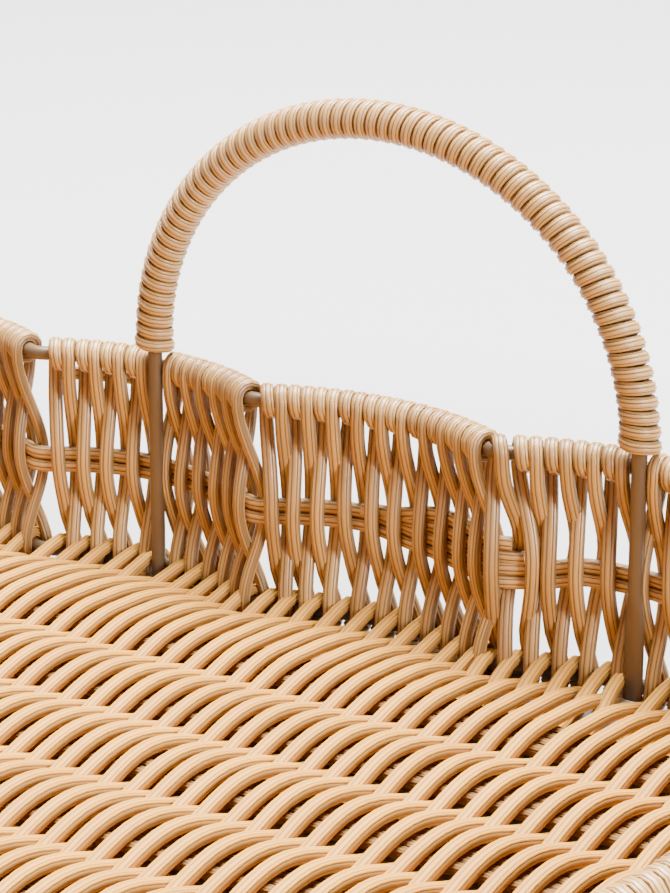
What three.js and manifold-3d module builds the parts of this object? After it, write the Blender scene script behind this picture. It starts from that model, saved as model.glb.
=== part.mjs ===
// Scallop-edged woven serving tray with two arched handles, in millimetres, +Z up.
// Ribbed plastic strand is woven on a painted steel wire frame. The rim wire and the base wire
// follow one scalloped outline of bulges that meet in inward cusps.
// X runs across the tray, along its two handle walls. Y runs along the tray.
// The origin is the middle of the tray on the surface that it stands on.

import * as THREE from 'three';
import { mergeVertices } from 'three/addons/utils/BufferGeometryUtils.js';
import Module from 'manifold-3d';

const wasm = await Module();
wasm.setup();

// Outline of the tray
const SCALLOP_PITCH = 62;
const SCALLOPS_ACROSS = 5;
const SCALLOPS_ALONG = 7;
const BULGE_DEPTH = 8.6;
const WALL_HEIGHT = 46.5;

// Stock that the tray is made from
const WIRE_DIAMETER = 3.2;
const STRAND_WIDTH = 3.05;
const STRAND_THICKNESS = 2.35;
const FIT_GAP = 0.3;
const JOIN_COVER = 0.1;

// Walls: strand pairs in each scallop, bare wire at each cusp, and the mid weaver's height
const PAIRS_PER_SCALLOP = 10;
const BARE_WIRE_AT_CUSP = 2.4;
const WEAVER_DROP = 24.7;

// Handles: a rod bent to an arch, wound with one strand
const HANDLE_RISE = 57.4;
const HANDLE_SPRING = 6.5;
const HANDLE_LEAN = 2;
const HANDLE_TURNS = 27;
const WINDING_SELF_GAP = 0.5;

// Floor: stakes that lie across the tray, with the long strands woven over and under them
const FLOOR_STAKES = 15;
const STAKE_THICKNESS = 4.25;
const STAKE_LAND = 8;

// Uprights of the two long walls, counted in scallops from the middle of the wall
const UPRIGHT_OFFSET_SCALLOPS = 2;

// Faceting
const SEGMENTS_PER_SCALLOP = 5;
const WIRE_SIDES = 6;
const SLEEVE_SIDES = 6;
const ARCH_STEPS = 20;
const STEPS_PER_TURN = 8;
const WINDING_SIDES = 5;

// Sizes that follow from the ones above
const wireRadius = WIRE_DIAMETER / 2;
const halfAcross = (SCALLOP_PITCH * SCALLOPS_ACROSS) / 2;
const halfAlong = (SCALLOP_PITCH * SCALLOPS_ALONG) / 2;
const floorThickness = STAKE_THICKNESS + 2 * STRAND_THICKNESS;
const baseZ = floorThickness / 2;
const rimZ = baseZ + WALL_HEIGHT;
const sleeveBore = wireRadius + FIT_GAP;
const sleeveRadius = wireRadius + STRAND_THICKNESS;
const legHoleRadius = wireRadius + FIT_GAP;
const wallFootZ = baseZ - sleeveRadius;
const stakePitch = (2 * halfAlong) / (FLOOR_STAKES + 1);

// Offsets from the wires' centre line, outward positive
const slatOuter = -(sleeveBore + JOIN_COVER);
const slatInner = -(sleeveRadius - JOIN_COVER);
const slatMiddle = (slatOuter + slatInner) / 2;
const legOffset = -(WIRE_DIAMETER + FIT_GAP);
const weaverInner = slatOuter + FIT_GAP;
const weaverMiddle = weaverInner + STRAND_THICKNESS / 2;
const floorEdge = slatInner - FIT_GAP;

const strandMaterial = new THREE.MeshStandardMaterial({ color: 0xd9ab78, roughness: 0.48, metalness: 0 });
const shadeMaterial = new THREE.MeshStandardMaterial({ color: 0xb98a58, roughness: 0.5, metalness: 0 });
const floorMaterial = new THREE.MeshStandardMaterial({ color: 0xe6c194, roughness: 0.48, metalness: 0 });
const wireMaterial = new THREE.MeshStandardMaterial({ color: 0x9a7b5c, roughness: 0.45, metalness: 0.2 });

const tray = new THREE.Group();

function addPiece(name, geometry, material) {
  const mesh = new THREE.Mesh(geometry, material);
  mesh.name = name;
  tray.add(mesh);
}

// One scallop is an arc over a chord of one pitch. Its points are in (along the chord, outward).
function scallopArc() {
  const half = SCALLOP_PITCH / 2;
  const radius = (half * half + BULGE_DEPTH * BULGE_DEPTH) / (2 * BULGE_DEPTH);
  const halfAngle = Math.atan2(half, radius - BULGE_DEPTH);
  const points = [];
  for (let i = 0; i <= SEGMENTS_PER_SCALLOP; i += 1) {
    const angle = halfAngle * ((2 * i) / SEGMENTS_PER_SCALLOP - 1);
    const outward = BULGE_DEPTH - radius * (1 - Math.cos(angle));
    points.push(new THREE.Vector2(half + radius * Math.sin(angle), outward));
  }
  return points;
}

// The four walls in clockwise order seen from above, each with the corner it starts at.
const WALLS = [
  { name: 'back', start: [-halfAcross, halfAlong], along: [1, 0], count: SCALLOPS_ACROSS },
  { name: 'right', start: [halfAcross, halfAlong], along: [0, -1], count: SCALLOPS_ALONG },
  { name: 'front', start: [halfAcross, -halfAlong], along: [-1, 0], count: SCALLOPS_ACROSS },
  { name: 'left', start: [-halfAcross, -halfAlong], along: [0, 1], count: SCALLOPS_ALONG },
];

// Vertices of the whole centre line, clockwise, with cusps shared between neighbours.
function outlinePoints() {
  const arc = scallopArc();
  const points = [];
  for (const wall of WALLS) {
    const along = new THREE.Vector2(...wall.along);
    const outward = new THREE.Vector2(-along.y, along.x);
    for (let k = 0; k < wall.count; k += 1) {
      for (const p of arc.slice(0, -1)) {
        points.push(
          new THREE.Vector2(...wall.start)
            .addScaledVector(along, k * SCALLOP_PITCH + p.x)
            .addScaledVector(outward, p.y),
        );
      }
    }
  }
  return points;
}

const outline = outlinePoints();

function segment(i) {
  const a = outline[i % outline.length];
  const b = outline[(i + 1) % outline.length];
  const along = b.clone().sub(a);
  const length = along.length();
  along.divideScalar(length);
  return { a, length, along, outward: new THREE.Vector2(-along.y, along.x) };
}

// Outward vector at a vertex, long enough to keep an offset parallel to both segments.
function mitre(i) {
  const before = segment((i + outline.length - 1) % outline.length).outward;
  const after = segment(i).outward;
  return before.clone().add(after).divideScalar(1 + before.dot(after));
}

// A section carried through stations. At each station across x up points along the travel.
function sweep(stations, section, closed = false) {
  const positions = [];
  for (const { at, across, up } of stations) {
    for (const [a, b] of section) {
      positions.push(...at.clone().addScaledVector(across, a).addScaledVector(up, b).toArray());
    }
  }
  const sides = section.length;
  const spans = closed ? stations.length : stations.length - 1;
  const index = [];
  for (let i = 0; i < spans; i += 1) {
    const here = i * sides;
    const next = ((i + 1) % stations.length) * sides;
    for (let j = 0; j < sides; j += 1) {
      const k = (j + 1) % sides;
      index.push(here + j, here + k, next + k, here + j, next + k, next + j);
    }
  }
  if (!closed) {
    const last = (stations.length - 1) * sides;
    for (let j = 1; j < sides - 1; j += 1) {
      index.push(0, j + 1, j, last, last + j, last + j + 1);
    }
  }
  const geometry = new THREE.BufferGeometry();
  geometry.setAttribute('position', new THREE.Float32BufferAttribute(positions, 3));
  geometry.setIndex(index);
  geometry.computeVertexNormals();
  return geometry;
}

// A regular or flattened polygon, counter-clockwise. It lies inside the circle, or outside it if asked.
function roundSection(radius, sides, { stretch = 1, outside = false, turn = 0 } = {}) {
  const reach = outside ? radius / Math.cos(Math.PI / sides) : radius;
  const section = [];
  for (let i = 0; i < sides; i += 1) {
    const angle = turn + (2 * Math.PI * i) / sides;
    section.push([reach * Math.cos(angle), reach * stretch * Math.sin(angle)]);
  }
  return section;
}

function boxSection(width, height) {
  const w = width / 2;
  const h = height / 2;
  return [[-w, -h], [w, -h], [w, h], [-w, h]];
}

const UP = new THREE.Vector3(0, 0, 1);

function place(point, z) {
  return new THREE.Vector3(point.x, point.y, z);
}

// A closed loop that follows the outline at an offset and a height.
function outlineLoop(offset, z, section) {
  const stations = outline.map((point, i) => {
    const across = place(mitre(i), 0);
    return { at: place(point, z).addScaledVector(across, offset), across, up: UP };
  });
  return sweep(stations, section, true);
}

function toSolid(geometry) {
  const plain = geometry.clone();
  plain.deleteAttribute('normal');
  plain.deleteAttribute('uv');
  const merged = mergeVertices(plain, 1e-4);
  return new wasm.Manifold(
    new wasm.Mesh({
      numProp: 3,
      vertProperties: Float32Array.from(merged.getAttribute('position').array),
      triVerts: Uint32Array.from(merged.getIndex().array),
    }),
  );
}

function toGeometry(solid) {
  const mesh = solid.getMesh();
  const geometry = new THREE.BufferGeometry();
  geometry.setAttribute('position', new THREE.Float32BufferAttribute(mesh.vertProperties, 3));
  geometry.setIndex(Array.from(mesh.triVerts));
  geometry.computeVertexNormals();
  return geometry;
}

// Frame: two loops of wire
const wireSection = roundSection(wireRadius, WIRE_SIDES);
addPiece('rim_wire', outlineLoop(0, rimZ, wireSection), wireMaterial);
addPiece('base_wire', outlineLoop(0, baseZ, wireSection), wireMaterial);

// Frame: where the handle legs and the uprights stand, inside the wires at the middle of a scallop
function bulgeMiddle(wallIndex, scallopsFromMiddle) {
  const wall = WALLS[wallIndex];
  const along = new THREE.Vector2(...wall.along);
  const outward = new THREE.Vector2(-along.y, along.x);
  const middleEdge = outlineReach() + legOffset;
  return new THREE.Vector2(...wall.start)
    .addScaledVector(along, (wall.count / 2 + scallopsFromMiddle) * SCALLOP_PITCH)
    .addScaledVector(outward, middleEdge);
}

// How far the faceted bulge stands out from the cusps at its middle.
function outlineReach() {
  const arc = scallopArc();
  const middle = Math.floor(SEGMENTS_PER_SCALLOP / 2);
  const other = Math.ceil(SEGMENTS_PER_SCALLOP / 2);
  return (arc[middle].y + arc[other].y) / 2;
}

const HANDLES = [
  { name: 'back', wall: 0, inward: -1 },
  { name: 'front', wall: 2, inward: 1 },
];
const HANDLE_LEG_SCALLOPS = [-1, 1];

// Centre line of a handle rod: up one leg, over the arch and down the other leg.
function handleLine({ wall, inward }) {
  const [from, to] = HANDLE_LEG_SCALLOPS.map((at) => bulgeMiddle(wall, at));
  const middle = from.clone().add(to).divideScalar(2);
  const radius = from.distanceTo(to) / 2;
  const side = to.clone().sub(from).normalize();
  const springZ = rimZ + HANDLE_SPRING;
  const points = [place(from, baseZ - wireRadius)];
  for (let i = 0; i <= ARCH_STEPS; i += 1) {
    const angle = (Math.PI * i) / ARCH_STEPS;
    const point = middle.clone().addScaledVector(side, -radius * Math.cos(angle));
    point.y += inward * HANDLE_LEAN * Math.sin(angle);
    points.push(place(point, springZ + HANDLE_RISE * Math.sin(angle)));
  }
  points.push(place(to, baseZ - wireRadius));
  return points;
}

// Stations along an open path that bends in one upright plane, square to the bisector of each bend.
function pathStations(points, sideways) {
  return points.map((point, i) => {
    const before = point.clone().sub(points[Math.max(i - 1, 0)]).normalize();
    const after = points[Math.min(i + 1, points.length - 1)].clone().sub(point).normalize();
    const travel = before.add(after).normalize();
    const up = new THREE.Vector3().crossVectors(travel, sideways).normalize();
    return { at: point, across: new THREE.Vector3().crossVectors(up, travel), up, travel };
  });
}

// Square to the planes that the handles stand in.
const HANDLE_NORMAL = new THREE.Vector3(0, 1, 0);

for (const handle of HANDLES) {
  const stations = pathStations(handleLine(handle), HANDLE_NORMAL);
  addPiece(`handle_rod_${handle.name}`, sweep(stations, wireSection), wireMaterial);
}

const UPRIGHTS = [
  { name: 'upright_right_back', wall: 1, at: -UPRIGHT_OFFSET_SCALLOPS },
  { name: 'upright_right_front', wall: 1, at: UPRIGHT_OFFSET_SCALLOPS },
  { name: 'upright_left_front', wall: 3, at: -UPRIGHT_OFFSET_SCALLOPS },
  { name: 'upright_left_back', wall: 3, at: UPRIGHT_OFFSET_SCALLOPS },
];

for (const { name, wall, at } of UPRIGHTS) {
  const foot = bulgeMiddle(wall, at);
  const across = new THREE.Vector3(1, 0, 0);
  const up = new THREE.Vector3(0, 1, 0);
  const stations = [baseZ - wireRadius, rimZ + wireRadius].map((z) => ({ at: place(foot, z), across, up }));
  addPiece(name, sweep(stations, wireSection), wireMaterial);
}

// Handle windings: one strand wound round the rod, from rim wrap to rim wrap. Each end leaves its
// last turn and runs straight down beside the rod to the rim.
const windingInner = wireRadius + FIT_GAP;
const windingMiddle = windingInner + STRAND_THICKNESS / 2;
const windingStartZ = rimZ + sleeveRadius + FIT_GAP;

function windingGeometry(handle) {
  const rod = handleLine(handle);
  rod[0].z = windingStartZ;
  rod[rod.length - 1].z = windingStartZ;
  const reach = [0];
  for (let i = 1; i < rod.length; i += 1) reach.push(reach[i - 1] + rod[i].distanceTo(rod[i - 1]));
  const total = reach[reach.length - 1];
  const endRun = STRAND_WIDTH;
  const pitch = (total - 2 * endRun) / HANDLE_TURNS;
  const width = pitch - WINDING_SELF_GAP;
  const rodStations = pathStations(rod, HANDLE_NORMAL);

  const rodAt = (distance) => {
    let i = 0;
    while (i < reach.length - 2 && reach[i + 1] < distance) i += 1;
    const t = (distance - reach[i]) / (reach[i + 1] - reach[i]);
    const at = rod[i].clone().lerp(rod[i + 1], t);
    const travel = rodStations[i].travel.clone().lerp(rodStations[i + 1].travel, t).normalize();
    const up = new THREE.Vector3().crossVectors(travel, HANDLE_NORMAL).normalize();
    return { at, travel, up, across: new THREE.Vector3().crossVectors(up, travel) };
  };

  const steps = HANDLE_TURNS * STEPS_PER_TURN;
  const stations = [];
  const addStation = (distance, angle, lengthwise) => {
    const { at, travel, up, across } = rodAt(distance);
    const outward = across.clone().multiplyScalar(Math.cos(angle)).addScaledVector(up, Math.sin(angle));
    const round = new THREE.Vector3().crossVectors(travel, outward);
    const direction = lengthwise ? travel : round;
    const beside = new THREE.Vector3().crossVectors(outward, direction);
    stations.push({ at: at.addScaledVector(outward, windingMiddle), across: beside, up: outward });
  };
  addStation(0, 0, true);
  for (let i = 0; i <= steps; i += 1) {
    addStation(endRun + (pitch * i) / STEPS_PER_TURN, (2 * Math.PI * i) / STEPS_PER_TURN, false);
  }
  addStation(total, 2 * Math.PI * HANDLE_TURNS, true);
  const flat = roundSection(width / 2, WINDING_SIDES, {
    stretch: STRAND_THICKNESS / width,
    turn: -Math.PI / 2,
  });
  return { geometry: sweep(stations, flat), stations, pitch, width };
}

// Least gap between neighbouring turns, measured between the points of one turn and the next.
function windingGap({ geometry }) {
  const position = geometry.getAttribute('position');
  const ring = (i) =>
    Array.from({ length: WINDING_SIDES }, (_, j) =>
      new THREE.Vector3().fromBufferAttribute(position, i * WINDING_SIDES + j),
    );
  let least = Infinity;
  const first = 1;
  const last = position.count / WINDING_SIDES - 2;
  for (let i = first; i + STEPS_PER_TURN <= last; i += 1) {
    for (const a of ring(i)) {
      for (const b of ring(i + STEPS_PER_TURN)) least = Math.min(least, a.distanceTo(b));
    }
  }
  return least;
}

for (const handle of HANDLES) {
  const winding = windingGeometry(handle);
  console.log(`handle_winding_${handle.name}: least gap to itself ${windingGap(winding).toFixed(2)} mm`);
  addPiece(`handle_winding_${handle.name}`, winding.geometry, strandMaterial);
}

// Mid weaver: two strands, one above the other, that run all round behind the inner wall strands
const weaverSection = boxSection(STRAND_THICKNESS, STRAND_WIDTH);
const weaverStep = (STRAND_WIDTH + FIT_GAP) / 2;
const weaverZ = rimZ - WEAVER_DROP;
addPiece('mid_weaver_upper', outlineLoop(weaverMiddle, weaverZ + weaverStep, weaverSection), shadeMaterial);
addPiece('mid_weaver_lower', outlineLoop(weaverMiddle, weaverZ - weaverStep, weaverSection), shadeMaterial);

// Walls: in each scallop the strands wrap the rim wire side by side, which makes a sleeve round it,
// and come down in pairs inside the mid weaver and the base wire.
const sleeveOuter = roundSection(sleeveRadius, SLEEVE_SIDES);
const sleeveInner = roundSection(sleeveBore, SLEEVE_SIDES, { outside: true, turn: Math.PI / SLEEVE_SIDES });
const slatSection = boxSection(STRAND_WIDTH, slatOuter - slatInner);

function sleeveStations(firstSegment, trim) {
  const stations = [];
  for (let i = 0; i <= SEGMENTS_PER_SCALLOP; i += 1) {
    const index = firstSegment + i;
    if (i === 0 || i === SEGMENTS_PER_SCALLOP) {
      const { a, length, along, outward } = segment(i === 0 ? index : index - 1);
      const distance = i === 0 ? trim : length - trim;
      const end = a.clone().addScaledVector(along, distance);
      stations.push({ at: place(end, rimZ), across: place(outward, 0), up: UP });
    } else {
      stations.push({ at: place(outline[index], rimZ), across: place(mitre(index), 0), up: UP });
    }
  }
  return stations;
}

// Distance of each pair along its scallop. A leg at the middle pushes the pairs beside it apart.
function pairDistances(length, hasLeg) {
  const beside = legHoleRadius + STRAND_WIDTH / 2 + JOIN_COVER;
  const distances = [];
  for (let k = 0; k < PAIRS_PER_SCALLOP; k += 1) {
    const fromMiddle = ((k + 0.5) / PAIRS_PER_SCALLOP - 0.5) * length;
    const side = fromMiddle < 0 ? -1 : 1;
    const pushed = hasLeg ? side * Math.max(Math.abs(fromMiddle), beside) : fromMiddle;
    distances.push(length / 2 + pushed);
  }
  return distances;
}

// A pair comes down inside the wires, from inside the sleeve to the foot of the wall.
function slat({ a, along, outward }, distance) {
  const foot = a.clone().addScaledVector(along, distance).addScaledVector(outward, slatMiddle);
  const frame = { across: place(along, 0), up: place(outward, 0) };
  const stations = [wallFootZ, rimZ].map((z) => ({ at: place(foot, z), ...frame }));
  return sweep(stations, slatSection);
}

// Room for each leg or upright, with flats towards the pairs on its two sides.
const legHoleSection = roundSection(legHoleRadius, WIRE_SIDES, { outside: true });
const LEGS = [
  ...HANDLES.flatMap(({ wall }) => HANDLE_LEG_SCALLOPS.map((at) => ({ wall, at }))),
  ...UPRIGHTS,
];

function legHole({ wall, at }) {
  const foot = bulgeMiddle(wall, at);
  const along = new THREE.Vector3(...WALLS[wall].along, 0);
  const across = new THREE.Vector3(-along.y, along.x, 0);
  const up = along.negate();
  const stations = [-floorThickness, rimZ + floorThickness].map((z) => ({ at: place(foot, z), across, up }));
  return toSolid(sweep(stations, legHoleSection));
}

function wallPiece(wallIndex, k, firstSegment) {
  const hasLeg = ({ wall, at }) => wall === wallIndex && (WALLS[wall].count - 1) / 2 + at === k;
  const legs = LEGS.filter(hasLeg);
  const segmentLength = segment(firstSegment).length;
  let solid = toSolid(sweep(sleeveStations(firstSegment, BARE_WIRE_AT_CUSP), sleeveOuter));
  for (const distance of pairDistances(segmentLength * SEGMENTS_PER_SCALLOP, legs.length > 0)) {
    const i = Math.floor(distance / segmentLength);
    solid = solid.add(toSolid(slat(segment(firstSegment + i), distance - i * segmentLength)));
  }
  solid = solid.subtract(toSolid(sweep(sleeveStations(firstSegment, 0), sleeveInner)));
  for (const leg of legs) solid = solid.subtract(legHole(leg));
  return toGeometry(solid);
}

let firstSegment = 0;
WALLS.forEach(({ name, count }, wallIndex) => {
  for (let k = 0; k < count; k += 1) {
    addPiece(`wall_${name}_${k + 1}`, wallPiece(wallIndex, k, firstSegment), strandMaterial);
    firstSegment += SEGMENTS_PER_SCALLOP;
  }
});

// Floor: one thick row over each stake, and thin between rows where the long strands cross. The rows
// are made a little longer and wider than the tray, then cut to its outline.
const rowsOverhang = 2 * BULGE_DEPTH;

function floorProfile() {
  const top = [];
  const crossing = STRAND_THICKNESS / 2;
  const crest = floorThickness / 2;
  for (let k = 0; k <= FLOOR_STAKES + 1; k += 1) {
    const y = k * stakePitch - halfAlong;
    if (k > 0) top.push([y - STAKE_LAND / 2, crest]);
    if (k <= FLOOR_STAKES) top.push([y + STAKE_LAND / 2, crest], [y + stakePitch / 2, crossing]);
  }
  top.unshift([-halfAlong - rowsOverhang, crest]);
  top.push([halfAlong + rowsOverhang, crest]);
  const bottom = top.map(([y, z]) => [y, -z]).reverse();
  return [...top, ...bottom].map(([y, z]) => new THREE.Vector2(y, baseZ + z));
}

const floorWidth = 2 * (halfAcross + rowsOverhang);
const rowsShape = new THREE.Shape(floorProfile());
const rows = new THREE.ExtrudeGeometry(rowsShape, { depth: floorWidth, bevelEnabled: false });
// The profile's axes are the tray's Y and Z, and it is extruded along X.
rows.applyMatrix4(new THREE.Matrix4().makeBasis(new THREE.Vector3(0, 1, 0), UP, new THREE.Vector3(1, 0, 0)));
rows.translate(-floorWidth / 2, 0, 0);

const floorOutline = outline.map((point, i) => point.clone().addScaledVector(mitre(i), floorEdge)).reverse();
const cutter = new THREE.ExtrudeGeometry(new THREE.Shape(floorOutline), {
  depth: 2 * floorThickness,
  bevelEnabled: false,
});
cutter.translate(0, 0, -floorThickness / 2);
let floorSolid = toSolid(rows).intersect(toSolid(cutter));
for (const leg of LEGS) floorSolid = floorSolid.subtract(legHole(leg));
addPiece('woven_floor', toGeometry(floorSolid), floorMaterial);

export default tray;
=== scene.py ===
# %% [markdown]
# # Woven tray with two arched handles
# The real tray is ribbed strand woven on a wire frame. Its rim and base are scalloped, its walls
# are open pairs of strands, and an arched handle stands on each short wall. A picture of weave on a
# plain box would be quick, but its gaps would be shut and its shadows wrong. So this lesson makes
# every strand as a tube along its own path, and wall, floor and handles hold together the way the
# real weave does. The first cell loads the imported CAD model, which gives the heights of both wires.

# %% Load the CAD model
import math

import bpy
import numpy as np
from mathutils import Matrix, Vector


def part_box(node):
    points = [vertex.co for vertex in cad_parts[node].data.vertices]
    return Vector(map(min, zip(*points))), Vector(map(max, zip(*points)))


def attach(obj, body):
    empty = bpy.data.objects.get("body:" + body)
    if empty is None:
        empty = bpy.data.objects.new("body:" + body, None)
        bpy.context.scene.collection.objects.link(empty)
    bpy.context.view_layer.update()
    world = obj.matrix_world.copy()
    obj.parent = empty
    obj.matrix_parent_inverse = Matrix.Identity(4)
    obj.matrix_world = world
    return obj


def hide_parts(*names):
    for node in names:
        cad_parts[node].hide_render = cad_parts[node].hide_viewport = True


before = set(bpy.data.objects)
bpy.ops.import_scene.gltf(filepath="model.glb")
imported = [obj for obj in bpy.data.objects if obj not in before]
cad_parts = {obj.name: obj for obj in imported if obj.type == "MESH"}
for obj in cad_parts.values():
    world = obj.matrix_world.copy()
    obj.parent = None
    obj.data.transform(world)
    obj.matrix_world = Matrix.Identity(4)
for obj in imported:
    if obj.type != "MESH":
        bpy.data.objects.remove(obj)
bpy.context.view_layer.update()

# %% [markdown]
# ## Sizes
# The maker of such a tray thinks in wire, strand and scallop. Numbers could stand wherever they are
# used, but a change to one would then miss the rest. So each size is written once, in millimetres,
# and metres come in only when a mesh is made.

# %% Driving sizes, in millimetres
MM = 0.001  # metres
SCALLOP = 62.0  # from cusp to cusp
BULGE = 8.6  # middle of a scallop outside the line between its cusps
HALF_ACROSS = 155.0  # half of five scallops
HALF_ALONG = 217.0  # half of seven
WIRE_R = 1.6
STRAND_W = 3.05  # width of a strand
STRAND_T = 2.35  # and its thickness
RIBS = 9  # round a strand
WRAP_R = WIRE_R + STRAND_T / 2  # from a wire's centre to that of a strand that lies on it
WEAVER_DROP = 24.7  # from the rim wire down to the mid weavers
BARE = 2.4  # bare rim wire beside a cusp
STAKES = 15  # across the floor
FLOOR_W = 3.4  # the floor's long strands are plumper
FLOOR_T = 2.8
LEG_OFFSET = -3.5  # handle legs and uprights stand inside the wires
HANDLE_HALF = 62.0  # half of the way between a handle's legs
HANDLE_RISE = 57.4  # of the arch
HANDLE_SPRING = 6.5  # the arch starts this far above the rim wire
HANDLE_LEAN = 2.0  # of the arch's top, into the tray
rng = np.random.default_rng(7)  # seeded, so every run weaves the same tray
print(f"strand {STRAND_W} x {STRAND_T} mm on wire of {2 * WIRE_R} mm, {STAKES} stakes in the floor")


# %% Heights from the CAD model, and the scallop's arc
def middle_height(node):
    """Height of the middle of a node's box: (lowest z + highest z) / 2."""
    low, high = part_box(node)
    return (low.z + high.z) / 2 / MM


rim_z = middle_height("rim_wire")
base_z = middle_height("base_wire")
weaver_z = rim_z - WEAVER_DROP
# A chord c with a bulge b belongs to a circle of radius (c^2/4 + b^2) / 2b.
arc_radius = (SCALLOP ** 2 / 4 + BULGE ** 2) / (2 * BULGE)
arc_half_angle = math.asin(SCALLOP / 2 / arc_radius)
arc_length = 2 * arc_half_angle * arc_radius
middle_s = arc_length / 2
print(f"rim wire z {rim_z:.2f}, base wire z {base_z:.2f}, scallop's radius {arc_radius:.2f}")

# %% [markdown]
# ## The scalloped outline
# Both wires follow one line of 24 arcs, and every strand of the walls keeps a place beside it.
# Working in x and y would make each strand a puzzle of angles. So a point of a wall is given by its
# scallop, its distance s along the arc as seen from inside, its distance n outside the wires'
# centre line, and its height z, and one function turns those four into x, y and z.

# %% From a wall's own measures to x, y and z
# Each wall has a first corner, the direction in which it runs, and its number of scallops.
WALLS = {
    "back": ((-HALF_ACROSS, HALF_ALONG), (1, 0), 5),
    "right": ((HALF_ACROSS, HALF_ALONG), (0, -1), 7),
    "front": ((HALF_ACROSS, -HALF_ALONG), (-1, 0), 5),
    "left": ((-HALF_ACROSS, -HALF_ALONG), (0, 1), 7),
}


def on_wall(wall, scallop, s, n, z):
    """Points of a wall. With angle = (s - L/2)/R, the place along the chord is P/2 + (R + n) sin
    angle, and outward of it (R + n) cos angle - (R - bulge). Returns points and wall tangents, each
    (..., 3)."""
    start, along, _ = WALLS[wall]
    s, n, z, scallop = np.broadcast_arrays(s, n, z, scallop)
    angle = (s - middle_s) / arc_radius
    chord = SCALLOP * (scallop + 0.5) + (arc_radius + n) * np.sin(angle)
    outward = (arc_radius + n) * np.cos(angle) - (arc_radius - BULGE)
    along = np.array(along, float)
    out = np.array([-along[1], along[0]])
    flat = np.array(start) + chord[..., None] * along + outward[..., None] * out
    tangent = np.cos(angle)[..., None] * along - np.sin(angle)[..., None] * out
    return (
        np.concatenate([flat, z[..., None]], -1),
        np.concatenate([tangent, np.zeros_like(z)[..., None]], -1),
    )


def outline_loop(n, z, step=1.6, smooth=1.6):
    """The closed outline at offset n and height z. Each point is the mean of its neighbours within
    smooth mm, which rounds the cusps."""
    count = int(arc_length / step)
    s = (np.arange(count) + 0.5) * arc_length / count
    loops = []
    for wall, (_, _, number) in WALLS.items():
        points, _ = on_wall(wall, np.arange(number)[:, None], s[None, :], n, z)
        loops.append(points.reshape(-1, 3))
    points = np.concatenate(loops)
    reach = max(1, round(smooth / step))
    return np.mean([np.roll(points, shift, 0) for shift in range(-reach, reach + 1)], 0)


whole = outline_loop(0, rim_z)
print("outline box, mm:", whole.min(0).round(1), whole.max(0).round(1), "in", len(whole), "steps")

# %% [markdown]
# ## Tubes along paths
# Strand and wire are both one section drawn along a path. A curve object with a bevel could do
# that, but it twists as it likes, and the ribs of real strand stay turned to the wall. So the
# section is carried along the path with a width direction that the caller gives, for many paths at
# once.

# %% Sections
def ribbed_section(width, thickness, ribs=RIBS, depth=0.17, square=2.7):
    """A ribbed oval with full shoulders: point k is at angle t = pi k/ribs on |x/a|^q + |y/b|^q =
    1, that is x = a |cos t|^(2/q), y = b |sin t|^(2/q) with their signs, and every second point is
    drawn in."""
    k = np.arange(2 * ribs)
    angle = np.pi * k / ribs
    reach = np.where(k % 2 == 0, 1.0, 1.0 - depth)
    x, y = np.cos(angle), np.sin(angle)
    x, y = np.sign(x) * abs(x) ** (2 / square), np.sign(y) * abs(y) ** (2 / square)
    return np.stack([width / 2 * reach * x, thickness / 2 * reach * y], -1)


def round_section(radius, sides=12):
    """A regular polygon on a circle: radius (cos a, sin a)."""
    angle = 2 * np.pi * np.arange(sides) / sides
    return radius * np.stack([np.cos(angle), np.sin(angle)], -1)


STRAND = ribbed_section(STRAND_W, STRAND_T)
WIRE = round_section(WIRE_R)
UP = np.array([0.0, 0.0, 1.0])
ALONG_Y = np.array([0.0, 1.0, 0.0])
print("sections: strand of", len(STRAND), "points, wire of", len(WIRE))


# %% Rings round a path
def unit(v):
    """A vector divided by its length."""
    return v / np.maximum(np.linalg.norm(v, axis=-1, keepdims=True), 1e-9)


def travel_of(points, closed=False):
    """Direction of travel at each point: the difference of its two neighbours, made one long."""
    if closed:
        return unit(np.roll(points, -1, 1) - np.roll(points, 1, 1))
    return unit(np.gradient(points, axis=1))


def tube_rings(paths, travel, widths, section, swell):
    """Points (N, M, S, 3) of N tubes of M rings. At each ring side = width direction made square to
    the travel, thick = travel x side, and the points are centre + a side + b thick for each (a,
    b)."""
    side = unit(widths - (widths * travel).sum(-1, keepdims=True) * travel)
    thick = np.cross(travel, side)
    wide, deep = (np.broadcast_to(factor, paths.shape[:2])[:, :, None, None] for factor in swell)
    return (
        paths[:, :, None]
        + wide * section[:, 0][:, None] * side[:, :, None]
        + deep * section[:, 1][:, None] * thick[:, :, None]
    )


straight = np.linspace([0.0, 0.0, 0.0], [10.0, 0.0, 0.0], 3)[None]
print("travel of a straight path:", travel_of(straight)[0, 0])


# %% Faces of the tubes
def tube_quads(count, steps, sides, closed):
    """Corners of the quads between neighbouring rings, (..., 4). Ring j of tube i starts at point
    (i M + j) S."""
    spans = steps if closed else steps - 1
    tube = np.arange(count)[:, None, None] * steps * sides
    here = np.arange(spans)[None, :, None] * sides
    after = (np.arange(1, spans + 1)[None, :, None] % steps) * sides
    k = np.arange(sides)[None, None, :]
    k_after = (k + 1) % sides
    corners = tube + here + k, tube + here + k_after, tube + after + k_after, tube + after + k
    return np.stack(np.broadcast_arrays(*corners), -1).reshape(-1, 4)


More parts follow.
